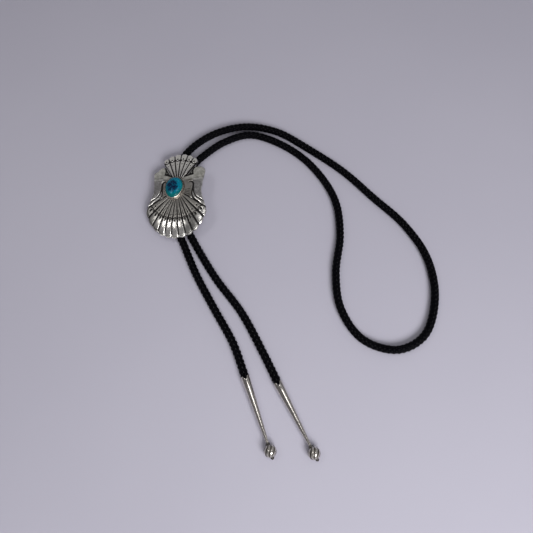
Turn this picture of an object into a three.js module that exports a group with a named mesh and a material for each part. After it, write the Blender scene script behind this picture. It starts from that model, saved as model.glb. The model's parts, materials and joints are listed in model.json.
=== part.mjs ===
// A bolo tie: a domed silver slide with two fluted fans and a turquoise stone, on a braided leather cord.
// Lengths are in millimetres and +Z is up. The tie lies on a table, as it would when it is taken off.
// The origin is on the table, in the middle of the box round the slide and the tips. +Y runs from the tips
// towards the slide's top.
import * as THREE from 'three';
import { mergeVertices } from 'three/addons/utils/BufferGeometryUtils.js';

const radians = THREE.MathUtils.degToRad;
const lerp = THREE.MathUtils.lerp;

// The gap between two pieces that touch on the real tie.
const seatGap = 0.3;

// The cord.
const cordDiameter = 5.2;
const cordSides = 10;
const cordSteps = 78;
const cordLift = 0.02;

// The clip that holds the cord behind the slide.
const clipLength = 15;
const clipWall = 0.6;
const channelClearance = 0.5;
const channelSpacing = 7.2;
const channelLeadIn = 13;
const clipSegments = 10;

// The slide's plate: it is flat in the middle and bends down to its rim.
const slideAcross = 1.9;
const slideUp = -1.2;
const slideRoll = -7.5;
const slideYaw = -1.5;
const plateThickness = 1.1;
const flatRadius = 10;
const rimDrop = 3.6;
const plateReach = 31;
const backShares = [1, 0.85, 0.7, 0.5, 0.3];

// The left run of the cord passes under the plate's lower rim at this place, and the rim stays clear of it.
const cordAtRim = 3.3;
const rimClearance = 0.6;

// The upper fan spreads from a point above the plate's centre.
const upperFlutes = 6;
const upperApex = 3.5;
const upperHalfAngle = 32.5;
const upperLength = 23.8;
const upperCornerLength = 21.2;
const upperCornerEase = 2.5;
const upperScallop = 1.1;

// The lower fan spreads from the plate's centre.
const lowerFlutes = 11;
const lowerHalfAngle = 59.5;
const lowerRadius = 30.6;
const lowerCornerRadius = 22.3;
const lowerCornerEase = 2.3;
const lowerScallop = 1.0;
const cornerWidening = 0.17;

// Relief on the plate, measured from its smooth domed face.
const fluteRise = 0.3;
const fluteDepth = 0.5;
const recessDepth = 0.9;
const fluteRoundness = 0.6;
const scallopRoundness = 0.7;

// The round lobes between the upper fan and the wings.
const lobeRadius = 3.95;
const lobeRise = 1.7;
const lobeAcross = 13.2;
const lobeUp = 14.4;

// The plain wings at the sides.
const waistHalfWidth = 15.9;
const wingTopAngle = 51.5;
const wingFlareUp = 1.5;
const wingFlareDown = 5.6;
const wingFlareAngle = 37;
const recessFloorUp = 10.4;
const recessSlope = 1.2;
const notchShare = 0.87;

// How finely the plate's net and the stone are divided.
const fluteShares = [0, 0.18, 0.5, 0.82];
const upperNarrowing = 0.62;
const lobeRays = 11;
const firstLobeRay = 0.2;
const wingRays = 9;
const faceSteps = 12;
const stoneSides = 28;
const stoneSteps = 6;

// The two grooves between wing and lower fan run round the stone and then out to the fan's corner.
const grooveDepth = 0.6;
const innerGrooveRadius = 10.4;
const grooveSpacing = 1.4;
const grooveStartAngle = 58;
const outerGrooveAngle = 113.5;

// The stone and the thin wall round it.
const stoneHalfWidth = 5.65;
const stoneHalfHeight = 7.2;
const stoneRise = 3.9;
const stoneGirdle = 1.5;
const stoneTilt = 8;
const stoneTaper = 0.07;
const stoneCentre = new THREE.Vector2(-1.8, 1.4);
const bezelWall = 0.5;
const bezelRise = 1.9;
const bezelFoot = 0.1;

// The cord's tips.
const tipMouthRadius = 2.75;
const tipNeckRadius = 0.85;
const tipMouthBand = 1;
const tipConeLength = 39.3;
const tipCollarRadius = 1.5;
const tipCollarLength = 0.7;
const tipCollarSlope = 0.2;
const tipBallRadius = 3.6;
const tipFinialRadius = 1.1;
const tipFinialLength = 1.5;
const tipSides = 16;
const tipBallSteps = 8;

// Where the tips lie from the slide's centre: the middle of each mouth and the way that each one points.
const leftTip = { x: 45.9, y: -118.9, heading: -70.5 };
const rightTip = { x: 64.8, y: -122.3, heading: -62.8 };

const cordRadius = cordDiameter / 2;
const channelRadius = cordRadius + channelClearance;
const clipRadius = channelRadius + clipWall;
const clipHeight = clipRadius * 2;
const plateFace = clipHeight + seatGap + plateThickness;
const roll = radians(slideRoll);

// The lower rim lies over the cord, and so the back of the clip is held above the table.
const rimBack = (plateFace - rimDrop - plateThickness) * Math.cos(roll) - cordAtRim * Math.sin(roll);
const slideLift = cordDiameter + rimClearance - rimBack;

const silver = () => new THREE.MeshStandardMaterial({ color: 0xc9c6bf, metalness: 1, roughness: 0.28 });
const leather = new THREE.MeshStandardMaterial({ color: 0x0c0c0e, metalness: 0, roughness: 0.55 });
const turquoise = new THREE.MeshStandardMaterial({ color: 0x0b7f93, metalness: 0, roughness: 0.3 });

// Height of the smooth face below the flat middle, at a distance from the centre.
function dome(radius) {
  const past = Math.max(0, radius - flatRadius) / (plateReach - flatRadius);
  return -rimDrop * past * past;
}

// Place of the slide: its own frame has the clip's flat back at the bottom.
function slidePlace() {
  const turn = new THREE.Euler(0, roll, radians(slideYaw), 'ZYX');
  const place = new THREE.Matrix4().makeRotationFromEuler(turn);
  return place.setPosition(slideAcross, slideUp, slideLift);
}

// Rounded profile of one flute, from groove to groove.
function flute(share) {
  return -fluteDepth + (fluteRise + fluteDepth) * Math.sin(Math.PI * share) ** fluteRoundness;
}

// Angle of a place in the lower fan, from its middle to its corner: the flutes are wider at the corners.
function lowerSpread(share) {
  return radians(lowerHalfAngle) * lerp(share, share ** 4, cornerWidening);
}

// Unit vector on the plate. Angles run clockwise from the top.
function direction(angle) {
  return new THREE.Vector2(Math.sin(angle), Math.cos(angle));
}

// Point at a margin outside the stone's outline, and scaled towards the stone's centre by a share.
function stoneOutline(angle, margin, share = 1) {
  const turned = angle - radians(stoneTilt);
  const along = Math.cos(turned);
  const across = Math.sin(turned) / (1 + stoneTaper * along);
  const radius = 1 / Math.hypot(along / stoneHalfHeight, across / stoneHalfWidth);
  return direction(angle).multiplyScalar((radius + margin) * share).add(stoneCentre);
}

function upperOutline(angle) {
  const share = Math.min(1, Math.abs(angle) / radians(upperHalfAngle));
  const wave = Math.abs(Math.sin(Math.PI * share * upperFlutes / 2));
  const smooth = lerp(upperLength, upperCornerLength, share ** upperCornerEase);
  const length = smooth + upperScallop * wave ** scallopRoundness;
  return new THREE.Vector2(length * Math.sin(angle), upperApex + length * Math.cos(angle));
}

function lowerOutline(share) {
  const angle = lowerSpread(share);
  const wave = Math.abs(Math.cos(Math.PI * share * lowerFlutes / 2));
  const smooth = lerp(lowerRadius, lowerCornerRadius, share ** lowerCornerEase);
  const radius = smooth + lowerScallop * wave ** scallopRoundness;
  return new THREE.Vector2(radius * Math.sin(angle), -radius * Math.cos(angle));
}

function lobeOutline(angle) {
  const distance = Math.hypot(lobeAcross, lobeUp);
  const off = angle - Math.atan2(lobeAcross, lobeUp);
  const reach = lobeRadius ** 2 - (distance * Math.sin(off)) ** 2;
  return distance * Math.cos(off) + Math.sqrt(Math.max(0, reach));
}

function wingOutline(angle) {
  const off = (angle - Math.PI / 2) / radians(wingFlareAngle);
  const flare = off < 0 ? wingFlareUp : wingFlareDown;
  return waistHalfWidth / Math.sin(angle) + flare * off * off;
}

// Relief beside the upper fan: a round lobe, and a sunk field between the lobe and the fan.
function lobeRelief(point) {
  const distance = Math.hypot(point.x - lobeAcross, point.y - lobeUp) / lobeRadius;
  if (distance < 1) {
    return lobeRise * Math.sqrt(1 - distance ** 2);
  }
  const overFloor = THREE.MathUtils.smoothstep(point.y, recessFloorUp - recessSlope, recessFloorUp);
  const insideLobe = THREE.MathUtils.smoothstep(lobeAcross - point.x, 0, recessSlope);
  return -recessDepth * overFloor * insideLobe;
}

// Relief of a wing ray, whose steps 2 and 4 lie in the two grooves round the stone.
// The groove that turns out to the rim stays in the ray from a given step on.
function wingRelief(degrees, grooveFrom) {
  return (point, step) => {
    const inCircle = step === 2 || (step === 4 && degrees <= outerGrooveAngle);
    const inGroove = degrees > grooveStartAngle && (inCircle || step >= grooveFrom);
    return inGroove ? -grooveDepth : 0;
  };
}

// Shares of a wing ray's length at which the net has points: they follow the two grooves.
function wingSteps(start, end) {
  const outerRadius = innerGrooveRadius + grooveSpacing;
  const half = grooveSpacing / 2;
  const radii = [-half, 0, half].map((step) => innerGrooveRadius + step);
  radii.push(outerRadius, outerRadius + half);
  const shares = radii.map((radius) => (radius - start.length()) / (end.length() - start.length()));
  const rest = faceSteps - shares.length;
  for (let step = 1; step <= rest; step += 1) {
    shares.push(lerp(shares[4], 1, step / rest));
  }
  return [0, ...shares];
}

// Each ray of the plate's net runs from the wall round the stone to the rim, from top to bottom.
// The right half comes first and its mirror image follows, from bottom to top.
function plateRays() {
  const rays = [];
  const upperHalf = radians(upperHalfAngle);
  const wingTop = radians(wingTopAngle);
  const corner = upperOutline(upperHalf);
  const cornerAngle = Math.atan2(corner.x, corner.y);
  const evenSteps = () => Array.from({ length: faceSteps + 1 }, (_, step) => step / faceSteps);
  const onFlute = (share) => () => flute(share);
  for (let index = 0; index < upperFlutes / 2; index += 1) {
    for (const share of fluteShares) {
      const angle = upperHalf * (index + share) / (upperFlutes / 2);
      const from = angle * upperNarrowing;
      rays.push({ from, end: upperOutline(angle), relief: onFlute(share), steps: evenSteps });
    }
  }
  rays.push({ from: upperHalf * upperNarrowing, end: corner, relief: onFlute(1), steps: evenSteps });
  for (let index = 0; index < lobeRays; index += 1) {
    const share = (index + firstLobeRay) / lobeRays;
    const angle = lerp(cornerAngle, wingTop, share);
    const radius = Math.max(lobeOutline(angle), corner.length() * notchShare);
    const from = lerp(upperHalf * upperNarrowing, wingTop, share);
    rays.push({ from, end: direction(angle).multiplyScalar(radius), relief: lobeRelief, steps: evenSteps });
  }
  const wingAngle = (degrees, grooveFrom = Infinity) => {
    const angle = radians(degrees);
    const end = direction(angle).multiplyScalar(wingOutline(angle));
    rays.push({ from: angle, end, relief: wingRelief(degrees, grooveFrom), steps: wingSteps });
  };
  for (let index = 0; index < wingRays; index += 1) {
    wingAngle(lerp(wingTopAngle, outerGrooveAngle, index / wingRays));
  }
  wingAngle(outerGrooveAngle, 4);
  wingAngle(lerp(outerGrooveAngle, 180 - lowerHalfAngle, 0.5));
  for (let index = (lowerFlutes - 1) / 2; index >= 0; index -= 1) {
    for (const share of [1, ...fluteShares.slice(1).reverse()]) {
      const place = (index + share - 0.5) / (lowerFlutes / 2);
      if (place >= 0) {
        const from = Math.PI - lowerSpread(place);
        rays.push({ from, end: lowerOutline(place), relief: onFlute(share), steps: evenSteps });
      }
    }
  }
  const onAxis = (ray) => Math.abs(ray.end.x) < 1e-6;
  const mirrored = rays.filter((ray) => !onAxis(ray)).reverse();
  return [...rays.map((ray) => ({ ...ray, side: 1 })), ...mirrored.map((ray) => ({ ...ray, side: -1 }))];
}

// Joins a list of rings, each with the same number of points, into one closed body.
// The first and last entries are single points.
function ringBody(rings) {
  const count = rings[1].length;
  const positions = [];
  const add = (a, b, c) => positions.push(...a.toArray(), ...b.toArray(), ...c.toArray());
  for (let level = 0; level < rings.length - 1; level += 1) {
    const inner = rings[level];
    const outer = rings[level + 1];
    for (let index = 0; index < count; index += 1) {
      const next = (index + 1) % count;
      if (inner.length === 1) {
        add(inner[0], outer[next], outer[index]);
      } else if (outer.length === 1) {
        add(inner[index], inner[next], outer[0]);
      } else {
        add(inner[index], inner[next], outer[next]);
        add(inner[index], outer[next], outer[index]);
      }
    }
  }
  const geometry = new THREE.BufferGeometry();
  geometry.setAttribute('position', new THREE.Float32BufferAttribute(positions, 3));
  const merged = mergeVertices(geometry);
  merged.computeVertexNormals();
  return merged;
}

// The plate with its relief and the stone's wall, which are one piece of silver.
function plateGeometry() {
  const rays = plateRays();
  const wall = (margin, height) => rays.map((ray) => {
    const point = stoneOutline(ray.from * ray.side, margin);
    return new THREE.Vector3(point.x, point.y, height);
  });
  const face = (step) => rays.map((ray) => {
    const end = new THREE.Vector2(ray.end.x * ray.side, ray.end.y);
    const start = stoneOutline(ray.from * ray.side, seatGap + bezelWall + bezelFoot);
    const point = start.clone().lerp(end, ray.steps(start, end)[step]);
    const height = dome(point.length()) + ray.relief(new THREE.Vector2(Math.abs(point.x), point.y), step);
    return new THREE.Vector3(point.x, point.y, height);
  });
  const back = (share) => rays.map((ray) => {
    const point = ray.end.clone().multiplyScalar(share);
    return new THREE.Vector3(point.x * ray.side, point.y, dome(point.length()) - plateThickness);
  });
  const faceRings = Array.from({ length: faceSteps + 1 }, (_, step) => face(step));
  return ringBody([
    [new THREE.Vector3(stoneCentre.x, stoneCentre.y, 0)],
    wall(seatGap, 0),
    wall(seatGap, bezelRise),
    wall(seatGap + bezelWall, bezelRise),
    ...faceRings,
    ...backShares.map(back),
    [new THREE.Vector3(0, 0, -plateThickness)],
  ]);
}

// The stone: an egg-shaped cabochon with a straight girdle.
function stoneGeometry() {
  const ring = (share, height) => Array.from({ length: stoneSides }, (_, index) => {
    const point = stoneOutline(index / stoneSides * 2 * Math.PI, 0, share);
    return new THREE.Vector3(point.x, point.y, height);
  });
  const rings = [[new THREE.Vector3(stoneCentre.x, stoneCentre.y, stoneRise)]];
  for (let step = 1; step <= stoneSteps; step += 1) {
    const turn = step / stoneSteps * Math.PI / 2;
    rings.push(ring(Math.sin(turn), stoneGirdle + (stoneRise - stoneGirdle) * Math.cos(turn)));
  }
  rings.push(ring(1, seatGap));
  rings.push([new THREE.Vector3(stoneCentre.x, stoneCentre.y, seatGap)]);
  return ringBody(rings);
}

// The clip: a flat-backed block with rounded sides and a channel for each run of the cord.
function clipGeometry() {
  const outline = new THREE.Shape();
  outline.absarc(channelSpacing / 2, clipRadius, clipRadius, -Math.PI / 2, Math.PI / 2, false);
  outline.absarc(-channelSpacing / 2, clipRadius, clipRadius, Math.PI / 2, Math.PI * 1.5, false);
  for (const side of [-1, 1]) {
    const channel = new THREE.Path();
    channel.absarc(side * channelSpacing / 2, clipRadius, channelRadius, 0, Math.PI * 2, true);
    outline.holes.push(channel);
  }
  const geometry = new THREE.ExtrudeGeometry(outline, {
    depth: clipLength,
    bevelEnabled: false,
    curveSegments: clipSegments,
  });
  geometry.rotateX(Math.PI / 2);
  geometry.translate(0, clipLength / 2, 0);
  return geometry;
}

// A tip: a long cone with a collar, a ball and a small point at its end.
function tipGeometry() {
  const ballCentre = tipConeLength + tipCollarLength + tipBallRadius;
  const profile = [
    new THREE.Vector2(0, 0),
    new THREE.Vector2(tipMouthRadius, 0),
    new THREE.Vector2(tipMouthRadius, tipMouthBand),
    new THREE.Vector2(tipNeckRadius, tipConeLength),
    new THREE.Vector2(tipCollarRadius, tipConeLength + tipCollarLength * tipCollarSlope),
    new THREE.Vector2(tipCollarRadius, tipConeLength + tipCollarLength * (1 - tipCollarSlope)),
  ];
  for (let step = 1; step < tipBallSteps; step += 1) {
    const turn = step / tipBallSteps * Math.PI;
    const height = ballCentre - tipBallRadius * Math.cos(turn);
    profile.push(new THREE.Vector2(tipBallRadius * Math.sin(turn), height));
  }
  profile.push(new THREE.Vector2(tipFinialRadius, ballCentre + tipBallRadius));
  profile.push(new THREE.Vector2(0, ballCentre + tipBallRadius + tipFinialLength));
  return new THREE.LatheGeometry(profile, tipSides);
}

// Direction of a tip's axis: its mouth and its ball both rest on the table.
function tipAxis(tip) {
  const distance = tipConeLength + tipCollarLength + tipBallRadius;
  const climb = Math.asin((tipBallRadius - tipMouthRadius) / distance);
  const heading = radians(tip.heading);
  return new THREE.Vector3(
    Math.cos(heading) * Math.cos(climb),
    Math.sin(heading) * Math.cos(climb),
    Math.sin(climb),
  );
}

function tipMouth(tip) {
  return new THREE.Vector3(tip.x, tip.y, tipMouthRadius);
}

function tipMesh(name, tip) {
  const mesh = new THREE.Mesh(tipGeometry(), silver());
  mesh.name = name;
  const along = tipAxis(tip);
  const across = new THREE.Vector3(-along.y, along.x, 0).normalize();
  const up = new THREE.Vector3().crossVectors(across, along);
  const turn = new THREE.Matrix4().makeBasis(across, along, up);
  mesh.position.copy(tipMouth(tip));
  mesh.quaternion.setFromRotationMatrix(turn);
  return mesh;
}

// The cord's course over the table, from the left tip through the clip, round the neck loop and back.
// A third number lifts the cord off the table where it climbs to the clip.
const leftLeg = [[38.6, -99.5], [26.5, -78], [14.6, -56], [5.4, -35, 0.05], [1.4, -26.5, 0.25]];
const neckLoop = [
  [1.9, 26, 0.25], [7.2, 34.4, 0.05], [22.6, 46.2], [43.5, 52], [65.3, 47.9], [87.8, 33.6],
  [109.8, 16.6], [128.7, -3], [146.8, -22], [159.3, -44.6], [161.7, -70.3], [153, -94.4],
  [136.3, -103.2], [116, -97.2], [103.8, -78.5], [101.6, -55.6], [105.5, -28.7], [103, -3.5],
  [87.7, 22.2], [68, 38], [47, 45.3], [29.6, 39.6], [15.6, 28.6, 0.1], [10.4, 22.6, 0.5],
];
const rightLeg = [[8.6, -27, 0.3], [12.8, -35.2, 0.05], [27, -58.8], [43.5, -81], [56.3, -104.9]];

function cordGeometry() {
  const lying = ([x, y, lift = cordLift]) => new THREE.Vector3(x, y, cordRadius + lift);
  const inClip = (side, y) => {
    const point = new THREE.Vector3(side * channelSpacing / 2, y, clipRadius);
    return point.applyMatrix4(slidePlace());
  };
  const endAt = (tip) => tipMouth(tip).addScaledVector(tipAxis(tip), -seatGap);
  const course = [
    endAt(leftTip),
    ...leftLeg.map(lying),
    inClip(-1, -channelLeadIn),
    inClip(-1, 0),
    inClip(-1, channelLeadIn),
    ...neckLoop.map(lying),
    inClip(1, channelLeadIn),
    inClip(1, 0),
    inClip(1, -channelLeadIn),
    ...rightLeg.map(lying),
    endAt(rightTip),
  ];
  const path = new THREE.CatmullRomCurve3(course, false, 'centripetal');
  path.arcLengthDivisions = 2000;
  const section = new THREE.Shape();
  section.absarc(0, 0, cordRadius, 0, Math.PI * 2, false);
  return new THREE.ExtrudeGeometry(section, {
    steps: cordSteps,
    curveSegments: cordSides / 2,
    extrudePath: path,
    bevelEnabled: false,
  });
}

function slideGroup() {
  const group = new THREE.Group();
  const plate = new THREE.Mesh(plateGeometry(), silver());
  plate.name = 'slide_plate';
  plate.position.z = plateFace;
  const stone = new THREE.Mesh(stoneGeometry(), turquoise);
  stone.name = 'stone';
  stone.position.z = plateFace;
  const clip = new THREE.Mesh(clipGeometry(), silver());
  clip.name = 'cord_clip';
  group.add(plate, stone, clip);
  group.applyMatrix4(slidePlace());
  return group;
}

const metalwork = new THREE.Group();
metalwork.add(slideGroup(), tipMesh('tip_left', leftTip), tipMesh('tip_right', rightTip));
const cord = new THREE.Mesh(cordGeometry(), leather);
cord.name = 'cord';

const boloTie = new THREE.Group();
boloTie.add(metalwork, cord);
const box = new THREE.Box3().setFromObject(metalwork, true);
boloTie.position.set(-(box.min.x + box.max.x) / 2, -(box.min.y + box.max.y) / 2, -box.min.z);

export default boloTie;
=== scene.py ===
"""A bolo tie with a fluted silver slide, a turquoise stone and a braided leather cord, ready for its picture.

Sizes are worked out in millimetres and turned into metres when a piece is finished.
"""

import json
import math
from functools import partial

import bmesh
import bpy
from mathutils import Matrix, Vector


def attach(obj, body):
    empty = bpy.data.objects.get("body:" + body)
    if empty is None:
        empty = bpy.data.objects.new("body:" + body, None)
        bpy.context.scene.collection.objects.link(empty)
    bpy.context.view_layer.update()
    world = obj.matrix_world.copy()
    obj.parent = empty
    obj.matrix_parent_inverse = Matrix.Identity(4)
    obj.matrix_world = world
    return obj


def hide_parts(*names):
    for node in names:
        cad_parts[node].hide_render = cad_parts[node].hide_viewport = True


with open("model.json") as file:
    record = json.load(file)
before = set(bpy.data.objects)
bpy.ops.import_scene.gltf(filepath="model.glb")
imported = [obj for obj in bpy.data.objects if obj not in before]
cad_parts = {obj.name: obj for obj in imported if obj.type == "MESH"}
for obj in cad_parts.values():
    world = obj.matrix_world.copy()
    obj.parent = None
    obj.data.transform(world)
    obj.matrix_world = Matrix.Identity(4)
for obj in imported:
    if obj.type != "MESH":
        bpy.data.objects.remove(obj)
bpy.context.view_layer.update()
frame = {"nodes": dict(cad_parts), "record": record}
MM = 0.001

# The slide's own frame stands on the back of its clip, and the record says where that is.
CLIP_BACK = Vector(frame["record"]["mounts"][0]["pos_m"]) / MM
SLIDE_ACROSS, SLIDE_UP = 1.9, -1.2
SLIDE_ROLL, SLIDE_YAW = math.radians(-7.5), math.radians(-1.5)
SLIDE_TURN = Matrix.Rotation(SLIDE_YAW, 4, "Z") @ Matrix.Rotation(SLIDE_ROLL, 4, "Y")
SLIDE_PLACE = Matrix.Translation(CLIP_BACK) @ SLIDE_TURN
TABLE_CENTRE = Vector((CLIP_BACK.x - SLIDE_ACROSS, CLIP_BACK.y - SLIDE_UP, 0))

# Camera and light

# The camera looks at a point on the table near the slide, from the front and above.
LOOK_FROM = TABLE_CENTRE + Vector((58.4, -164.815, 316))
LOOK_AT = TABLE_CENTRE + Vector((58.4, -49.8, 0))
SENSOR_WIDTH, CAMERA_LENS, CLIP_START = 36, 36, 0.01

# Name, place, point that it shines at, both sides in metres, watts and colour.
LIGHTS = [
    ("light_over_slide", (-440, 125, 810), (-30, 65, 0), (0.36, 0.11), 0.6, (1.0, 0.985, 0.95)),
    ("light_left", (-470, 40, 740), (-30, 65, 0), (0.16, 0.2), 0.35, (1.0, 0.985, 0.95)),
    ("light_over_tips", (150, 90, 870), (20, -70, 0), (0.2, 0.26), 0.8, (1.0, 0.985, 0.97)),
    ("light_front", (300, -540, 550), (60, -140, 0), (0.45, 0.35), 6.6, (1.0, 0.99, 0.98)),
    ("light_right", (620, 330, 640), (30, 30, 0), (0.8, 0.6), 0.3, (0.98, 0.985, 1.0)),
]


def aimed(thing, place, target):
    thing.location = place * MM
    thing.rotation_mode = "QUATERNION"
    thing.rotation_quaternion = (target - place).to_track_quat("-Z", "Y")
    bpy.context.scene.collection.objects.link(thing)


def photo_camera():
    camera = bpy.data.objects.new("camera", bpy.data.cameras.new("camera"))
    camera.data.sensor_width = SENSOR_WIDTH
    camera.data.lens = CAMERA_LENS
    camera.data.clip_start = CLIP_START
    aimed(camera, LOOK_FROM, LOOK_AT)
    bpy.context.scene.camera = camera


def soft_light(name, place, target, size, power, colour):
    lamp = bpy.data.lights.new(name, "AREA")
    lamp.shape = "RECTANGLE"
    lamp.size, lamp.size_y = size
    lamp.energy = power
    lamp.color = colour
    aimed(bpy.data.objects.new(name, lamp), Vector(place), Vector(target))


photo_camera()
for light in LIGHTS:
    soft_light(*light)
bpy.context.scene.view_settings.view_transform = "Standard"

# Shader sums


class Wire:
    """A socket of a material, which can be used in sums."""

    def __init__(self, tree, socket=None):
        self.tree = tree
        self.socket = socket

    def node(self, kind, settings=None, inputs=None, output=0):
        made = self.tree.nodes.new("ShaderNode" + kind)
        for name, value in (settings or {}).items():
            if name == "stops":
                ramp = made.color_ramp
                while len(ramp.elements) < len(value):
                    ramp.elements.new(0.5)
                for element, (position, colour) in zip(ramp.elements, value):
                    element.position = position
                    element.color = (*colour, 1)
            else:
                setattr(made, name, value)
        for name, value in (inputs or {}).items():
            socket = made.inputs[name]
            if isinstance(value, Wire):
                self.tree.links.new(value.socket, socket)
            else:
                socket.default_value = value
        return Wire(self.tree, made.outputs[output])

    def maths(self, operation, *values):
        return self.node("Math", {"operation": operation}, dict(enumerate(values)))

    def __add__(self, other):
        return self.maths("ADD", self, other)

    __radd__ = __add__

    def __sub__(self, other):
        return self.maths("SUBTRACT", self, other)

    def __rsub__(self, other):
        return self.maths("SUBTRACT", other, self)

    def __mul__(self, other):
        return self.maths("MULTIPLY", self, other)

    __rmul__ = __mul__

    def __pow__(self, other):
        return self.maths("POWER", self, other)

    def step(self, start, end):
        """Rises smoothly from 0 at start to 1 at end, or falls if start is the higher."""
        low, high = min(start, end), max(start, end)
        values = {"Value": self, "From Min": low, "From Max": high}
        values |= {"To Min": 0.0, "To Max": 1.0} if start < end else {"To Min": 1.0, "To Max": 0.0}
        return self.node("MapRange", {"interpolation_type": "SMOOTHSTEP"}, values)

    def blend(self, first, second):
        """A colour between first and second, by this amount."""
        first, second = (value if isinstance(value, Wire) else (*value, 1) for value in (first, second))
        inputs = {0: self, 6: first, 7: second}
        return self.node("Mix", {"data_type": "RGBA"}, inputs, output=2)

    def noise(self, scale, detail=3.0, roughness=0.5):
        inputs = {"Vector": self, "Scale": scale, "Detail": detail, "Roughness": roughness}
        return self.node("TexNoise", None, inputs)

    def axis(self, letter):
        return self.node("SeparateXYZ", None, {0: self}, output=letter)


def finish_of(name, build):
    """A material whose look is what build returns: names and values of the main shader's sockets."""
    material = bpy.data.materials.new(name)
    material.use_nodes = True
    tree = material.node_tree
    shader = tree.nodes["Principled BSDF"]
    for socket, value in build(Wire(tree)).items():
        if isinstance(value, Wire):
            tree.links.new(value.socket, shader.inputs[socket])
        else:
            shader.inputs[socket].default_value = value
    return material


def places(start):
    return start.node("TexCoord", output="Object")


def relief(height, distance, strength=1.0, under=None):
    inputs = {"Height": height, "Distance": distance, "Strength": strength}
    if under:
        inputs["Normal"] = under
    return height.node("Bump", None, inputs)

# What the silver reflects: how bright the room is along Y, from behind the viewer to the far side.
SKY_STOPS = [
    (0.0, (0.42, 0.415, 0.41)), (0.15, (0.34, 0.335, 0.33)), (0.28, (0.15, 0.147, 0.155)),
    (0.78, (0.15, 0.147, 0.153)), (0.845, (0.38, 0.375, 0.37)), (1.0, (0.3, 0.297, 0.3)),
]


def studio_sky():
    world = bpy.data.worlds.new("studio")
    bpy.context.scene.world = world
    world.use_nodes = True
    start = Wire(world.node_tree)
    sky = start.node("TexCoord", output="Generated")
    share = start.maths("MULTIPLY_ADD", sky.axis("Y"), 0.5, 0.5)
    colour = start.node("ValToRGB", {"stops": SKY_STOPS}, {0: share})
    background = world.node_tree.nodes["Background"]
    world.node_tree.links.new(colour.socket, background.inputs["Color"])


studio_sky()

# Nets: a grid whose points are moved to their places

UV = "UVMap"
WELD_GAP = 1e-4


def net(bm, columns, rows, place, uv=None, marks=None):
    """Adds a grid of faces to bm and moves the point at each column and row to place(column, row)."""
    uv_layer = (bm.loops.layers.uv.get(UV) or bm.loops.layers.uv.new(UV)) if uv else None
    layers = {}
    for name in marks or {}:
        layers[name] = bm.verts.layers.float.get(name) or bm.verts.layers.float.new(name)
    made = bmesh.ops.create_grid(bm, x_segments=columns, y_segments=rows, size=0.5)["verts"]
    spots = {v: (round((v.co.x + 0.5) * columns), round((v.co.y + 0.5) * rows)) for v in made}
    if uv:
        for face in {face for vert in made for face in vert.link_faces}:
            first = min(spots[vert][0] for vert in face.verts)
            for loop in face.loops:
                loop[uv_layer].uv = uv(first, *spots[loop.vert])
    for name, layer in layers.items():
        for vert, spot in spots.items():
            vert[layer] = marks[name](*spot)
    for vert, spot in spots.items():
        vert.co = place(*spot)


def piece(name, bm, material, node=None, turn=None, sharp=math.radians(50), closed=True):
    """Makes bm, in millimetres, a finished piece that rides with the tie."""
    bmesh.ops.remove_doubles(bm, verts=bm.verts, dist=WELD_GAP)
    if closed:
        edges = [edge for edge in bm.edges if edge.is_boundary]
        bmesh.ops.holes_fill(bm, edges=edges, sides=0)
    bmesh.ops.recalc_face_normals(bm, faces=bm.faces)
    bmesh.ops.transform(bm, matrix=Matrix.Scale(MM, 4) @ (turn or Matrix()), verts=bm.verts)
    for face in bm.faces:
        face.smooth = True
    for edge in bm.edges:
        edge.smooth = edge.calc_face_angle(0) < sharp
    mesh = bpy.data.meshes.new(name)
    bm.to_mesh(mesh)
    bm.free()
    mesh.materials.append(material)
    made = bpy.data.objects.new(name, mesh)
    bpy.context.scene.collection.objects.link(made)
    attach(made, "root")
    if node:
        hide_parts(node)
    return made


def smooth(low, high, value):
    share = min(1.0, max(0.0, (value - low) / (high - low)))
    return share * share * (3 - 2 * share)
    return share * share * (3 - 2 * share)


def fade(low, high, value):
    """Falls smoothly from 1 at low to 0 at high."""
    return 1 - smooth(low, high, value)


def lerp(start, end, share):
    return start + (end - start) * share


# The cord's course

CORD_RADIUS = 2.6
CORD_LIFT = 0.02
CHANNEL_SPACING = 7.2
CLIP_RADIUS = 3.7
CHANNEL_LEAD_IN = 13
SEAT_GAP = 0.3

TIP_MOUTH = 2.75
TIP_NECK = 0.85
TIP_CONE = 39.3
TIP_COLLAR = (1.5, 0.7)
TIP_BALL = 3.6
TIP_FINIAL = (1.1, 1.5)
# Where each tip's mouth is from the slide's centre, and the way that the tip points.
TIPS = {
    "tip_left": (Vector((45.9, -118.9, TIP_MOUTH)), math.radians(-70.5)),
    "tip_right": (Vector((64.8, -122.3, TIP_MOUTH)), math.radians(-62.8)),
}

# The cord's points on the table are across and up from the slide's centre, with the gap under the cord
# where it isn't CORD_LIFT.
LEFT_LEG = [(38.6, -99.5), (26.5, -78), (14.6, -56), (5.4, -35, 0.05), (1.4, -26.5, 0.25)]
NECK_LOOP = [
    (1.9, 26, 0.25), (7.2, 34.4, 0.05), (22.6, 46.2), (43.5, 52), (65.3, 47.9), (87.8, 33.6),
    (109.8, 16.6), (128.7, -3), (146.8, -22), (159.3, -44.6), (161.7, -70.3), (153, -94.4),
    (136.3, -103.2), (116, -97.2), (103.8, -78.5), (101.6, -55.6), (105.5, -28.7), (103, -3.5),
    (87.7, 22.2), (68, 38), (47, 45.3), (29.6, 39.6), (15.6, 28.6, 0.1), (10.4, 22.6, 0.5),
]
RIGHT_LEG = [(8.6, -27, 0.3), (12.8, -35.2, 0.05), (27, -58.8), (43.5, -81), (56.3, -104.9)]


def tip_axis(heading):
    climb = math.asin((TIP_BALL - TIP_MOUTH) / (TIP_CONE + TIP_COLLAR[1] + TIP_BALL))
    flat = math.cos(climb)
    return Vector((math.cos(heading) * flat, math.sin(heading) * flat, math.sin(climb)))


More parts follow.
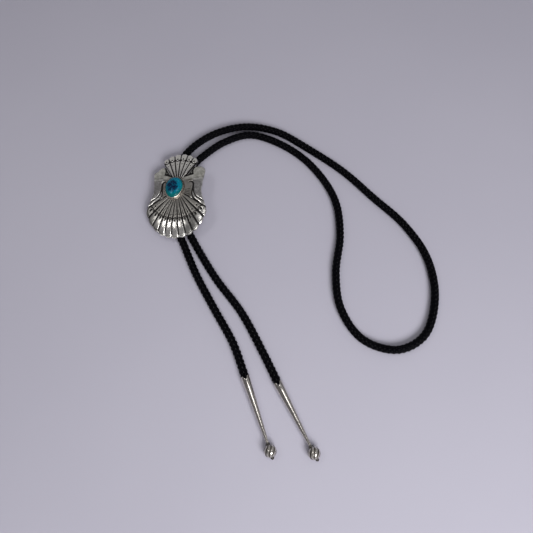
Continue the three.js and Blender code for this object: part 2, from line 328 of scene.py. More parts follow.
def cord_course():
    def lying(point):
        lift = point[2] if len(point) > 2 else CORD_LIFT
        return TABLE_CENTRE + Vector((point[0], point[1], CORD_RADIUS + lift))

    def in_clip(side, up):
        return SLIDE_PLACE @ Vector((side * CHANNEL_SPACING / 2, up, CLIP_RADIUS))

    def end_at(tip):
        mouth, heading = TIPS[tip]
        return TABLE_CENTRE + mouth - tip_axis(heading) * SEAT_GAP

    return [
        end_at("tip_left"),
        *map(lying, LEFT_LEG),
        *(in_clip(-1, up) for up in (-CHANNEL_LEAD_IN, 0, CHANNEL_LEAD_IN)),
        *map(lying, NECK_LOOP),
        *(in_clip(1, up) for up in (CHANNEL_LEAD_IN, 0, -CHANNEL_LEAD_IN)),
        *map(lying, RIGHT_LEG),
        end_at("tip_right"),
    ]


def smooth_line(points, per_span=60):
    """A smooth line through the points, as a list of many points."""
    padded = [points[0] * 2 - points[1], *points, points[-1] * 2 - points[-2]]
    line = []
    for before, start, end, after in zip(padded, padded[1:], padded[2:], padded[3:]):
        gaps = [(b - a).length ** 0.5 for a, b in ((before, start), (start, end), (end, after))]
        out = (start - before) / gaps[0] - (end - before) / (gaps[0] + gaps[1]) + (end - start) / gaps[1]
        into = (end - start) / gaps[1] - (after - start) / (gaps[1] + gaps[2]) + (after - end) / gaps[2]
        out, into = out * gaps[1], into * gaps[1]
        for step in range(per_span):
            t = step / per_span
            rise = out * t + (end * 3 - start * 3 - out * 2 - into) * t**2
            line.append(start + rise + (start * 2 - end * 2 + out + into) * t**3)
    return [*line, points[-1]]


def evenly(line, count):
    """The line's points again, at even distances: count spans of the same length."""
    lengths = [0.0]
    for a, b in zip(line, line[1:]):
        lengths.append(lengths[-1] + (b - a).length)
    spaced, span = [], 0
    for step in range(count + 1):
        goal = lengths[-1] * step / count
        while span < len(line) - 2 and lengths[span + 1] < goal:
            span += 1
        share = (goal - lengths[span]) / (lengths[span + 1] - lengths[span])
        spaced.append(line[span].lerp(line[span + 1], min(1, share)))
    return spaced, lengths[-1]

# The braid: flat strands, half of them each way round, over one and under one

BRAID_PITCH = 11.6
STRANDS_EACH_WAY = 4
STRAND_STEPS = 22
STRAND_MIDDLE = 1.84
STRAND_WEAVE = 0.4
STRAND_SECTION = [
    (1.02, -0.1), (0.72, 0.2), (0.26, 0.36), (-0.26, 0.36), (-0.72, 0.2), (-1.02, -0.1), (0, -0.34),
]
STRAND_SHARP = math.radians(100)
UV_STEP = 0.1

# A plain core fills the braid, and at both ends a plug goes on into the tip.
CORE_RADIUS, CORE_SIDES, CORE_STEPS = 1.35, 8, 400
PLUG_LENGTH, PLUG_RADIUS = 3.0, 2.1
PATH_STEPS = 300

LEATHER_BLACKS = (0.0004, 0.0004, 0.0009), (0.0016, 0.0016, 0.003)


def leather_look(start):
    place = places(start)
    patches, fine, rough = place.noise(90, 3), place.noise(2600, 4, 0.6), place.noise(700, 2)
    return {
        "Base Color": (fine * 0.6 + patches * 0.4).step(0.3, 0.75).blend(*LEATHER_BLACKS),
        "Roughness": 0.2 + rough * 0.16,
        "IOR": 1.2,
        "Specular IOR Level": 0.2,
        "Normal": relief(fine + rough * 0.8, 0.00012, 0.55),
    }


leather = finish_of("braided_leather", leather_look)


def square_to(along):
    """Two directions square to a direction and to each other, the first of them level."""
    side = along.cross(Vector((0, 0, 1))).normalized()
    return side, side.cross(along)


def strands(line, length):
    """The flat strands, which wind round the cord's middle line."""
    turns = length / BRAID_PITCH
    steps = round(turns * STRAND_STEPS)
    centres, _ = evenly(line, steps)
    frames = []
    for step, centre in enumerate(centres):
        along = (centres[min(step + 1, steps)] - centres[max(step - 1, 0)]).normalized()
        frames.append((centre, along, *square_to(along)))
    columns = len(STRAND_SECTION)

    def place(way, strand, column, row):
        centre, along, side, up = frames[row]
        turn = math.tau * turns * row / steps
        around = way * turn + math.tau * strand / STRANDS_EACH_WAY
        radius = STRAND_MIDDLE + way * STRAND_WEAVE * math.cos(STRANDS_EACH_WAY * turn)
        out = side * math.cos(around) + up * math.sin(around)
        round_it = up * math.cos(around) - side * math.sin(around)
        forward = along + round_it * (way * STRAND_MIDDLE * math.tau / BRAID_PITCH)
        flat = out.cross(forward).normalized()
        wide, high = STRAND_SECTION[column % columns]
        return centre + out * (radius + high) + flat * wide

    def uv(first, column, row):
        return column / columns, row * UV_STEP

    bm = bmesh.new()
    for way in (1, -1):
        for strand in range(STRANDS_EACH_WAY):
            net(bm, columns, steps, partial(place, way, strand), uv)
    return piece("cord_braid", bm, leather, "cord", sharp=STRAND_SHARP)


def core(line):
    """The round core under the strands, with a plug at each end."""
    points, _ = evenly(line, CORE_STEPS)
    plugs = []
    for end, inner in ((points[0], points[1]), (points[-1], points[-2])):
        plugs.append(end + (end - inner).normalized() * PLUG_LENGTH)
    rings = [(plugs[0], PLUG_RADIUS), (points[0], PLUG_RADIUS)]
    rings += [(point, CORE_RADIUS) for point in points[1:-1]]
    rings += [(points[-1], PLUG_RADIUS), (plugs[1], PLUG_RADIUS)]
    last = len(rings) - 1

    def place(column, row):
        centre, radius = rings[row]
        side, up = square_to((rings[min(row + 1, last)][0] - rings[max(row - 1, 0)][0]).normalized())
        turn = math.tau * column / CORE_SIDES
        return centre + (side * math.cos(turn) + up * math.sin(turn)) * radius

    bm = bmesh.new()
    net(bm, CORE_SIDES, last, place)
    return piece("cord_core", bm, leather)


def cord():
    line = smooth_line(cord_course())
    points, length = evenly(line, PATH_STEPS)
    path = [tuple(point * MM) for point in points]
    braid = strands(line, length)
    heart = core(line)
    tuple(path[0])
    length * MM


cord()

# The slide's plate

# The face is flat in the middle and bends down towards the rim. Its heights are from the flat middle.
PLATE_FACE = 8.8
PLATE_THICKNESS = 1.1
FLAT_RADIUS, PLATE_REACH, RIM_DROP = 10, 31, 3.6
FACE_TURN = SLIDE_PLACE @ Matrix.Translation((0, 0, PLATE_FACE))

# The upper fan spreads from a point above the plate's centre, and the lower fan from the centre.
UPPER_FLUTES, UPPER_APEX, UPPER_HALF = 6, 3.5, math.radians(32.5)
UPPER_LENGTH, UPPER_CORNER, UPPER_EASE, UPPER_SCALLOP = 23.8, 21.2, 2.5, 1.1
LOWER_FLUTES, LOWER_HALF = 11, math.radians(59.5)
LOWER_RADIUS, LOWER_CORNER, LOWER_EASE, LOWER_SCALLOP = 30.6, 22.3, 2.3, 1.0
CORNER_WIDENING = 0.17
SCALLOP_ROUNDNESS = 0.7

# The round lobes beside the upper fan lean back. The left one is narrower than the right one.
LOBE_RADIUS, LOBE_HEIGHT, LOBE_LEAN = 3.95, 4.6, 0.09
LOBE = Vector((13.2, 14.4))
LEFT_LOBE_NARROWING, NARROW_FROM, NARROW_TO = 0.15, (0, 0.35), (0.82, 1)
NOTCH_SHARE = 0.87

# A field between each lobe and the fan is sunk, and a bead stands in it.
RECESS_FOOT, RECESS_CLIMB, RECESS_SIDE, RECESS_DEPTH = (4.4, 10.0), 0.34, 10.3, 0.75
BEAD, BEAD_HALF = Vector((8.3, 13.4)), (0.95, 1.5)
BEAD_RISE, BEAD_TARNISH, BEAD_WALL = 0.6, 0.62, (0.3, 1.0)
FOOT_WALL, SIDE_WALL, LOBE_WALL = (-0.35, 0.25), (-0.5, 0.3), (0.94, 1.04)

# The wings are waisted, and flare out to the lobes and to the lower fan. A faint dent parts wing and lobe,
# and painted shade darkens it as a shadow line under the lobe.
WAIST, WING_TOP, WING_FOOT = 15.9, math.radians(51.5), math.radians(113.5)
FLARE_UP, FLARE_DOWN, FLARE_ANGLE = 1.5, 5.6, math.radians(37)
WING_LINE = (8.7, 0.12)
DENT_HALF, DENT_FROM, DENT_DEPTH, DENT_SHADE = 0.6, (9.2, 11.2), 0.12, 0.22

# Fine marks spread from the stone on both sides, in the plain field that ends at INNER_SIDE.
SPOKE_START, SPOKE_ANGLE, SPOKE_EDGE = 88, 8.5, (0.14, 0.36)
SPOKE_TOP, SPOKE_IN, SPOKE_OUT = (74, 84), (4.2, 5.4), (8.0, 9.4)
SPOKE_DEPTH, SPOKE_TARNISH = 0.05, 0.62
INNER_SIDE = 9.6

# Each wing is cut off by a hooked groove, which splits in two on its way out to the lower fan's corner.
# A point is across, up and half the groove's width there.
GROOVE_HOOK = [
    (7.2, 6.0, 0.3), (8.4, 6.25, 0.4), (9.6, 6.0, 0.55), (10.3, 4.9, 0.62), (10.4, 3.2, 0.68),
    (10.3, 0.6, 0.75),
]
GROOVE_OUTER = [
    (10.5, 0.6, 0.5), (11.3, -2.2, 0.42), (12.6, -4.3, 0.42), (14.3, -5.8, 0.4), (16.3, -6.9, 0.36),
    (18.6, -8.0, 0.3),
]
GROOVE_INNER = [
    (10.0, 0.6, 0.4), (9.8, -1.2, 0.4), (9.9, -3.0, 0.42), (10.4, -4.8, 0.42), (11.8, -6.3, 0.4),
    (15.4, -8.9, 0.36), (19.4, -11.5, 0.3),
]
GROOVES = [GROOVE_HOOK, GROOVE_OUTER, GROOVE_INNER]
GROOVE_DEPTH, GROOVE_REACH, GROOVE_WALL = 0.5, 9.0, (0.4, 1.35)

# The stone is an egg-shaped cabochon, a little off the plate's centre.
STONE_HALF = (5.65, 7.2)
STONE_RISE, STONE_GIRDLE = 3.9, 1.5
STONE_TILT, STONE_TAPER = math.radians(8), 0.07
STONE_CENTRE = Vector((-1.8, 1.4))
BEZEL_FOOT = 0.9
HALVINGS = 24

# The lower fan is satin inside the border, and its tongues outside it are polished and bend down.
BORDER = 20.8
BORDER_BLEND = (BORDER - 1, BORDER + 0.5)
TONGUE_RISE, TONGUE_DROP, TONGUE_END = 0.2, 1.3, LOWER_RADIUS + 3
CROWN_POWER = 0.6
FLUTE_RISE, FLUTE_DEPTH = 0.3, 0.45
UPPER_GROOVE, LOWER_GROOVE, FLAT_SHARE = 0.5, 0.68, 0.4
GROOVE_SHARE, INNER_RISE, INNER_DEPTH = 0.19, 0.08, 0.3

# Inside the border a weak line runs along the middle of each flute, but for the outer flutes.
MIDDLE_LINE, LINE_EDGE = 0.42, (0.14, 0.336)
LINE_FLUTES, LINE_WIDTHS = (4, 4.4), (2, 2.9)

# The rim is rounded, and the lower fan's rim has a bevel with a line at its inner side.
EDGE_DROP, EDGE_WIDTH = 0.3, 0.55
RIM_LINE, RIM_LINE_HALF, RIM_BEVEL, RIM_LINE_DEPTH, RIM_TARNISH = 1.1, 0.24, 0.32, 0.12, 0.75

# Each flute has three stamped marks: a dot, a crescent and a drop in the crescent.
UPPER_STAMPS = {"dot": 16.4, "crescent": 20.2, "drop": 20.4, "half": (0.45, 0.85), "thick": 0.36}
LOWER_STAMPS = {"dot": 17.2, "crescent": 20.6, "drop": 20.9, "half": (0.55, 1.15), "thick": 0.24}
CRESCENT_RADIUS, CRESCENT_WALL, CRESCENT_CUT = 1.45, (0.5, 1.3), (-0.1, 0.3)
DOT_RADIUS, DOT_WALL, DROP_WALL = 0.42, (0.7, 1.3), (0.7, 1.25)
STAMP_DEPTH = 0.3

# How finely the plate's net is divided.
FLUTE_SHARES = [0, 0.03, 0.06, 0.1, 0.15, 0.21, 0.28, 0.36, 0.44]
FLUTE_SHARES = FLUTE_SHARES + [1 - share for share in reversed(FLUTE_SHARES[1:])]
LOBE_RAYS, WING_RAYS, CORNER_RAYS = 30, 34, 6
FIRST_LOBE_RAY = 0.2
FACE_STEPS = 92
UNDER_BEZEL = 0.9
BACK_SHARES = (1.0, 0.97, 0.85, 0.7, 0.5, 0.3, 0.0)

# In the plate's UV map the second number is the radius in a fan, and outside the fans one of these zones.
# The first number is the place in the upper fan, and in the lower fan LOWER_UV is added to it.
WING_ZONE, LOBE_ZONE, INNER_ZONE = -1, -2, -3
LOWER_UV, NO_FAN_UV = 20, 0.5


def direction(angle):
    return Vector((math.sin(angle), math.cos(angle)))


def dome(radius):
    return -RIM_DROP * (max(0, radius - FLAT_RADIUS) / (PLATE_REACH - FLAT_RADIUS)) ** 2


def stone_outline(angle, margin, share=1.0):
    along, across = math.cos(angle - STONE_TILT), math.sin(angle - STONE_TILT)
    across /= 1 + STONE_TAPER * along
    radius = 1 / math.hypot(along / STONE_HALF[1], across / STONE_HALF[0])
    return direction(angle) * (radius + margin) * share + STONE_CENTRE


def bezel_crossing(apex, towards):
    """Where the line from a point inside the bezel towards one outside it leaves the bezel's foot."""
    inside, outside = 0.0, 1.0
    for _ in range(HALVINGS):
        share = (inside + outside) / 2
        off = apex.lerp(towards, share) - STONE_CENTRE
        foot = stone_outline(math.atan2(off.x, off.y), BEZEL_FOOT) - STONE_CENTRE
        if off.length < foot.length:
            inside = share
        else:
            outside = share
    return apex.lerp(towards, outside)


def upper_outline(place):
    share = min(1, place / (UPPER_FLUTES / 2))
    angle = share * UPPER_HALF
    wave = abs(math.sin(math.pi * place)) ** SCALLOP_ROUNDNESS
    length = lerp(UPPER_LENGTH, UPPER_CORNER, share**UPPER_EASE) + UPPER_SCALLOP * wave
    return Vector((0, UPPER_APEX)) + direction(angle) * length


def lower_spread(share):
    return LOWER_HALF * lerp(share, share**4, CORNER_WIDENING)


def lower_outline(place):
    share = place / (LOWER_FLUTES / 2)
    wave = abs(math.cos(math.pi * place)) ** SCALLOP_ROUNDNESS
    radius = lerp(LOWER_RADIUS, LOWER_CORNER, share**LOWER_EASE) + LOWER_SCALLOP * wave
    return direction(math.pi - lower_spread(share)) * radius


def lobe_outline(angle):
    distance = LOBE.length
    off = angle - math.atan2(LOBE.x, LOBE.y)
    reach = LOBE_RADIUS**2 - (distance * math.sin(off)) ** 2
    return distance * math.cos(off) + math.sqrt(max(0, reach))


def wing_outline(angle):
    off = (angle - math.pi / 2) / FLARE_ANGLE
    return WAIST / math.sin(angle) + (FLARE_UP if off < 0 else FLARE_DOWN) * off * off


def groove_cut(point):
    """How deep a point lies in the grooves, from 0 to 1."""
    deepest = 0.0
    for line in GROOVES:
        for start, end in zip(line, line[1:]):
            a, b = Vector(start[:2]), Vector(end[:2])
            span = b - a
            share = min(1, max(0, (point - a).dot(span) / span.length_squared))
            gap = (a + span * share - point).length / lerp(start[2], end[2], share)
            deepest = max(deepest, fade(*GROOVE_WALL, gap))
    return deepest


def stamp_marks(place, radius, stamps, width):
    """How deep, from 0 to 1, the stamped marks are at a place in a flute."""
    across = (place - math.floor(place) - 0.5) * width
    ring = math.hypot(across, radius - stamps["crescent"])
    inner, outer = (stamps["thick"] * share for share in CRESCENT_WALL)
    crescent = fade(inner, outer, abs(ring - CRESCENT_RADIUS))
    crescent *= fade(*CRESCENT_CUT, radius - stamps["crescent"])
    drop = math.hypot(across / stamps["half"][0], (radius - stamps["drop"]) / stamps["half"][1])
    dot = math.hypot(across, radius - stamps["dot"]) / DOT_RADIUS
    return max(crescent, fade(*DROP_WALL, drop), fade(*DOT_WALL, dot))


def fan_relief(kind, place, point):
    """Height in a fan, how dark it is, and the distance from the point that it spreads from."""
    share = place - math.floor(place)
    if kind == "upper":
        radius = (point - Vector((0, UPPER_APEX))).length
        width = radius * 2 * UPPER_HALF / UPPER_FLUTES
        stamps, inner, groove, fold = UPPER_STAMPS, 0.0, UPPER_GROOVE, 0.0
    else:
        radius = point.length
        width = radius * 2 * LOWER_HALF / LOWER_FLUTES
        stamps, inner = LOWER_STAMPS, fade(*BORDER_BLEND, radius)
        groove = min(LOWER_GROOVE, GROOVE_SHARE * width)
        fold = TONGUE_DROP * smooth(BORDER, TONGUE_END, radius) ** 2
    deep = fade(groove * FLAT_SHARE, groove, min(share, 1 - share) * width)
    crown = math.sin(math.pi * share) ** CROWN_POWER
    rise = FLUTE_RISE if kind == "upper" else lerp(TONGUE_RISE, INNER_RISE, inner)
    height = rise * crown - lerp(FLUTE_DEPTH, INNER_DEPTH, inner) * deep
    line = inner * MIDDLE_LINE * fade(*LINE_EDGE, abs(share - 0.5) * width)
    line *= fade(*LINE_FLUTES, place) * smooth(*LINE_WIDTHS, width)
    marks = max(line, stamp_marks(place, radius, stamps, width))
    return height - fold - STAMP_DEPTH * marks, min(1, max(deep, marks)), radius


def above_wing(point):
    """How far a point lies above the line between a wing and its lobe."""
    return point.y - WING_LINE[0] - (point.x - LOBE.x) * WING_LINE[1]


def sunk_field(point):
    """How far a point is in the sunk field beside a lobe, and how far in its bead, from 0 to 1."""
    from_lobe = math.hypot((point.x - LOBE.x) / LOBE_RADIUS, (point.y - LOBE.y) / LOBE_HEIGHT)
    from_foot = point.y - RECESS_FOOT[1] - (point.x - RECESS_FOOT[0]) * RECESS_CLIMB
    sunk = smooth(*FOOT_WALL, from_foot) * smooth(*SIDE_WALL, RECESS_SIDE - point.x)
    sunk *= smooth(*LOBE_WALL, from_lobe)
    off = point - BEAD
    return sunk, fade(*BEAD_WALL, math.hypot(off.x / BEAD_HALF[0], off.y / BEAD_HALF[1]))


def spoke_marks(point):
    """How deep a point lies in the fine marks beside the stone, from 0 to 1."""
    around = math.degrees(math.atan2(point.x, point.y))
    off = abs(((around - SPOKE_START) / SPOKE_ANGLE) % 1 - 0.5) * math.radians(SPOKE_ANGLE)
    marks = fade(*SPOKE_EDGE, off * point.length) * smooth(*SPOKE_TOP, around)
    return marks * fade(*SPOKE_OUT, point.x) * smooth(*SPOKE_IN, point.x)


def side_relief(point):
    """Height, tarnish with the painted shade along the dent, and zone on the lobes, the sunk fields beside
    them and the wings.
    """
    shoulder = above_wing(point)
    sunk, bead = sunk_field(point)
    height = -LOBE_LEAN * max(0, shoulder) - sunk * (RECESS_DEPTH - BEAD_RISE * bead)
    dark = sunk * (1 - BEAD_TARNISH * bead)
    if point.y < GROOVE_REACH:
        cut = groove_cut(point)
        height, dark = height - GROOVE_DEPTH * cut, max(dark, cut)
    # Painted shade: the dent under each lobe is darkened like a shadow line.
    dent = math.exp(-((shoulder / DENT_HALF) ** 2)) * smooth(*DENT_FROM, point.x)
    spokes = spoke_marks(point)
    height -= DENT_DEPTH * dent + SPOKE_DEPTH * spokes
    zone = LOBE_ZONE if shoulder > 0 else INNER_ZONE if point.x < INNER_SIDE else WING_ZONE
    return height, max(dark, SPOKE_TARNISH * spokes, DENT_SHADE * dent), zone


def plate_rays():
    """The rays of the plate's net, clockwise from the top: kind, place, end on the right side, and side."""
    half = []
    for flute in range(UPPER_FLUTES // 2):
        for share in FLUTE_SHARES[:-1]:
            place = flute + share
            half.append(("upper", place, upper_outline(place)))
    corner = upper_outline(UPPER_FLUTES / 2)
    corner_angle = math.atan2(corner.x, corner.y)
    half.append(("upper", UPPER_FLUTES / 2, corner))
    for ray in range(LOBE_RAYS):
        share = (ray + FIRST_LOBE_RAY) / LOBE_RAYS
        angle = lerp(corner_angle, WING_TOP, share)
        reach = max(lobe_outline(angle), corner.length * NOTCH_SHARE)
        half.append(("lobe", share, direction(angle) * reach))
    wing_end = math.pi - LOWER_HALF
    count = WING_RAYS + CORNER_RAYS
    for ray in range(count):
        angle = lerp(WING_TOP, wing_end, ray / count)
        reach = wing_outline(min(angle, WING_FOOT))
        if angle > WING_FOOT:
            corner_share = (angle - WING_FOOT) / (wing_end - WING_FOOT)
            edge = direction(WING_FOOT) * wing_outline(WING_FOOT)
            reach = edge.lerp(lower_outline(LOWER_FLUTES / 2), corner_share).length
        half.append(("side", 0, direction(angle) * reach))
    for flute in range((LOWER_FLUTES - 1) // 2, -1, -1):
        for share in reversed(FLUTE_SHARES[1:]):
            place = flute + share - 0.5
            if place >= 0:
                half.append(("lower", place + 0.5, lower_outline(place)))
    mirrored = [ray for ray in half if abs(ray[2].x) > 1e-6]
    return [(*ray, 1) for ray in half] + [(*ray, -1) for ray in reversed(mirrored)]

def ray_start(kind, place, finish, side):
    """Where the ray of a place, which ends at finish, leaves the bezel's foot."""
    fan_apex, middle = Vector((0, UPPER_APEX)), Vector((0, 0))
    if kind != "lobe":
        return bezel_crossing(fan_apex if kind == "upper" else middle, finish)
    corner = upper_outline(UPPER_FLUTES / 2)
    edges = (
        bezel_crossing(fan_apex, Vector((corner.x * side, corner.y))),
        bezel_crossing(middle, direction(WING_TOP * side) * PLATE_REACH),
    )
    turns = [math.atan2(*(edge - STONE_CENTRE)) for edge in edges]
    return stone_outline(lerp(*turns, place), BEZEL_FOOT)


def face_point(kind, place, point, left):
    """A point of the face, its tarnish and painted shade, and its radius or zone. The rim is as far away as
    left says.
    """
    folded = Vector((abs(point.x), point.y))
    if kind in ("side", "lobe"):
        height, dark, radius = side_relief(folded)
    else:
        height, dark, radius = fan_relief(kind, place, folded)
    height -= EDGE_DROP * fade(0, EDGE_WIDTH, left) ** 2
    if kind == "lower":
        rim_line = fade(RIM_LINE_HALF * FLAT_SHARE, RIM_LINE_HALF, abs(left - RIM_LINE))
        height -= RIM_BEVEL * fade(0, RIM_LINE, left) + RIM_LINE_DEPTH * rim_line
        dark = max(dark, RIM_TARNISH * rim_line)
    return Vector((*point, dome(point.length) + height)), dark, radius


def back_point(kind, point):
    """A point of the plate's back, which leans with the lobes."""
    above = above_wing(Vector((abs(point.x), point.y))) if kind in ("side", "lobe") else 0
    return Vector((*point, dome(point.length) - PLATE_THICKNESS - LOBE_LEAN * max(0, above)))


def plate_column(kind, place, end, side):
    """The points of one ray of the net: under the bezel, out over the face and in again over the back."""
    finish = Vector((end.x * side, end.y))
    if kind == "lobe" and side < 0:
        finish.x *= 1 - LEFT_LOBE_NARROWING * smooth(*NARROW_FROM, place) * fade(*NARROW_TO, place)
    start = ray_start(kind, place, finish, side)
    inner = STONE_CENTRE.lerp(start, UNDER_BEZEL)
    column = [(Vector((*point, 0)), 0, WING_ZONE) for point in (STONE_CENTRE, inner)]
    span = (finish - start).length
    for step in range(FACE_STEPS + 1):
        share = step / FACE_STEPS
        column.append(face_point(kind, place, start.lerp(finish, share), span * (1 - share)))
    for share in BACK_SHARES:
        column.append((back_point(kind, finish * share), 0, WING_ZONE))
    return column


def plate():
    rays = plate_rays()
    count = len(rays)
    shapes = [plate_column(*ray) for ray in rays]

    def uv(first, column, row):
        kinds = {rays[first % count][0], rays[(first + 1) % count][0]}
        kind, place = rays[column % count][:2]
        radius = shapes[column % count][row][2]
        if len(kinds) > 1 or kind in ("side", "lobe") or radius < 0:
            return (NO_FAN_UV, min(radius, WING_ZONE))
        return (place + (LOWER_UV if kind == "lower" else 0), radius)

    bm = bmesh.new()
    # The darkness marked on each point is the patina in the hollows, and painted shade along the dent under
    # each lobe.
    net(
        bm, count, len(shapes[0]) - 1, lambda column, row: shapes[column % count][row][0], uv,
        {"tarnish": lambda column, row: shapes[column % count][row][1]},
    )
    piece("slide_plate_silver", bm, silver, "slide_plate", FACE_TURN)


# The silver's colours. Where it has two, they are the ends of a mottled range.
SILVER = {
    "clean": ((0.80, 0.785, 0.755), (0.90, 0.885, 0.86)),
    "inner_fan": (0.32, 0.309, 0.291),
    "beside_stone": ((0.2, 0.19, 0.175), (0.36, 0.345, 0.325)),
    "wing": ((0.5, 0.49, 0.48), (0.8, 0.79, 0.775)),
    "lobe": ((0.47, 0.465, 0.43), (0.74, 0.73, 0.69)),
    # The two tongue colours are painted shade: they darken the left and right tongues so that these reflect
    # less light.
    "shaded_left_tongues": (0.24, 0.233, 0.22),
    "shaded_right_tongues": (0.12, 0.118, 0.114),
    # The near-black colour is for the patina in the hollows and for the painted shade along the dent.
    "tarnish": (0.006, 0.005, 0.005),
}

# The tongues are rougher, and darkened with painted shade, in two bands of the plate, given in metres across.
DULL_SHADED_LEFT = (-0.04, -0.05)
DULL_SHADED_RIGHT = ((-0.031, -0.025), (-0.0185, -0.0215))


def scratches(place):
    """Fine polishing marks, soft dents and patches of a hand-worked metal."""
    long = place.node("Mapping", None, {"Vector": place, "Scale": (1.0, 0.12, 1.0)})
    return long.noise(2400, 2, 0.6), place.noise(260, 2), place.noise(900, 3)


def in_zone(number, zone):
    """1 where a zone's number is this one, and 0 from 0.7 away."""
    return number.step(zone - 0.7, zone - 0.3) * number.step(zone + 0.7, zone + 0.3)


def silver_look(start):
    place = places(start)
    fine, dents, patches = scratches(place)
    tarnish = start.node("Attribute", {"attribute_name": "tarnish"}, output="Fac")
    uv = start.node("UVMap", {"uv_map": UV})
    radius, across = uv.axis("Y"), place.axis("X")
    lower = uv.axis("X").step(LOWER_UV / 2 - 0.1, LOWER_UV / 2 + 0.1)
    inner = lower * radius.step(BORDER + 0.4, BORDER - 0.6)
    beside = in_zone(radius, INNER_ZONE)
    # The tongues in the two bands get painted shade, which is a darker base colour, and more roughness.
    shaded_left_tongues = (lower - inner) * across.step(*DULL_SHADED_LEFT)
    shaded_right_tongues = (lower - inner) * across.step(*DULL_SHADED_RIGHT[0]) * across.step(*DULL_SHADED_RIGHT[1])
    # dark holds the patina in the hollows and the painted shade along the dent under each lobe.
    dark = (tarnish * (0.85 + patches * 0.4)).step(0.08, 0.6)
    mottle = place.noise(420, 3, 0.6).step(0.32, 0.68)
    body = patches.step(0.35, 0.7).blend(*SILVER["clean"])
    body = (inner * (0.8 + patches * 0.4)).blend(body, SILVER["inner_fan"])
    body = beside.blend(body, dents.step(0.3, 0.7).blend(*SILVER["beside_stone"]))
    body = in_zone(radius, WING_ZONE).blend(body, mottle.blend(*SILVER["wing"]))
    body = in_zone(radius, LOBE_ZONE).blend(body, mottle.blend(*SILVER["lobe"]))
    body = (shaded_left_tongues * 0.8).blend(body, SILVER["shaded_left_tongues"])
    body = (shaded_right_tongues * 0.9).blend(body, SILVER["shaded_right_tongues"])
    rough = 0.17 + patches * 0.1 + (inner + beside) * 0.16 + dark * 0.3
    return {
        "Base Color": dark.blend(body, SILVER["tarnish"]),
        "Metallic": 1 - dark * 0.8,
        "Roughness": rough + (shaded_left_tongues + shaded_right_tongues) * 0.12 + (lower - inner) * 0.02,
        "Specular IOR Level": 0.25,
        "Normal": relief(dents, 0.0003, 0.07, relief(fine, 0.00003, 0.3)),
    }


silver = finish_of("worked_silver", silver_look)
plate()

# The bezel and the stone

# A row of the bezel's section is its distance outside the stone's outline and its height.
BEZEL_SIDES = 132
BEZEL_TOOTH = 0.09
BEZEL_PROFILE = [
    (0.95, -0.15), (0.8, 0.2), (0.7, 0.8), (0.6, 1.35), (0.42, 1.75),
    (0.16, 1.9), (0.02, 1.84), (0.06, 1.5), (0.3, 0.9), (0.3, -0.15),
]
TOOTH_FROM, TOOTH_OUT = (1.4, 1.9), 0.6
BEZEL_CLEAN, BEZEL_TOP_TONE = ((0.56, 0.49, 0.43), (0.76, 0.7, 0.64)), (0.2, 0.165, 0.14)

# The bezel's colour darkens towards the top: it is darkest above the first of these, in metres along Y, and
# has its mottled colour below the second.
TOP_TONE_SPAN = (0.0735, 0.066)


def bezel_look(start):
    place = places(start)
    fine, dents, patches = scratches(place)
    clean = patches.step(0.3, 0.7).blend(*BEZEL_CLEAN)
    return {
        "Base Color": place.axis("Y").step(*TOP_TONE_SPAN).blend(BEZEL_TOP_TONE, clean),
        "Metallic": 1.0,
        "Roughness": 0.2 + patches * 0.12,
        "Normal": relief(dents, 0.0003, 0.2, relief(fine, 0.00004, 0.5)),
    }


def bezel():
    last = len(BEZEL_PROFILE)

    def place(column, row):
        margin, height = BEZEL_PROFILE[row % last]
        tooth = BEZEL_TOOTH * (column % 2) * smooth(*TOOTH_FROM, height)
        point = stone_outline(math.tau * column / BEZEL_SIDES, margin + tooth * TOOTH_OUT)
        return Vector((*point, height - tooth))

    bm = bmesh.new()
    net(bm, BEZEL_SIDES, last, place)
    piece("bezel", bm, bezel_silver, None, FACE_TURN, closed=False)


bezel_silver = finish_of("plain_silver", bezel_look)
bezel()

STONE_SIDES, STONE_STEPS = 96, 26
STONE_UV_SIZE = 10

# Colours of the stone, and the middles of its blue part and of its dark veins in its UV map.
STONE_BLUES = (0.0, 0.07, 0.15), (0.0, 0.23, 0.33)
STONE_TEALS = (0.001, 0.07, 0.085), (0.003, 0.145, 0.138)
STONE_VEINS = (0.001, 0.009, 0.035)
BLUE_MIDDLE, VEIN_MIDDLE, OVAL = (0.0, 0.14), (-0.07, 0.02), 1.6


def stone():
    centre = Vector((*STONE_CENTRE, STONE_RISE))

    def at(column, row):
        angle = math.tau * column / STONE_SIDES
        if row <= STONE_STEPS:
            turn = math.pi / 2 * row / STONE_STEPS
            point = stone_outline(angle, 0, math.sin(turn))
            return Vector((*point, lerp(STONE_GIRDLE, STONE_RISE, math.cos(turn))))
        point = stone_outline(angle, 0, 1.0 if row == STONE_STEPS + 1 else 0.0)
        return Vector((*point, SEAT_GAP / 2))

    def uv(first, column, row):
        return tuple((at(column, row) - centre).xy / STONE_UV_SIZE)

    bm = bmesh.new()
    net(bm, STONE_SIDES, STONE_STEPS + 2, at, uv)
    piece("stone_turquoise", bm, turquoise, "stone", FACE_TURN)


def away_from(uv, middle):
    """Distance in the stone's UV map from a middle, on an upright oval."""
    across, up = uv.axis("X") - middle[0], uv.axis("Y") - middle[1]
    return (across * across * OVAL + up * up) ** 0.5


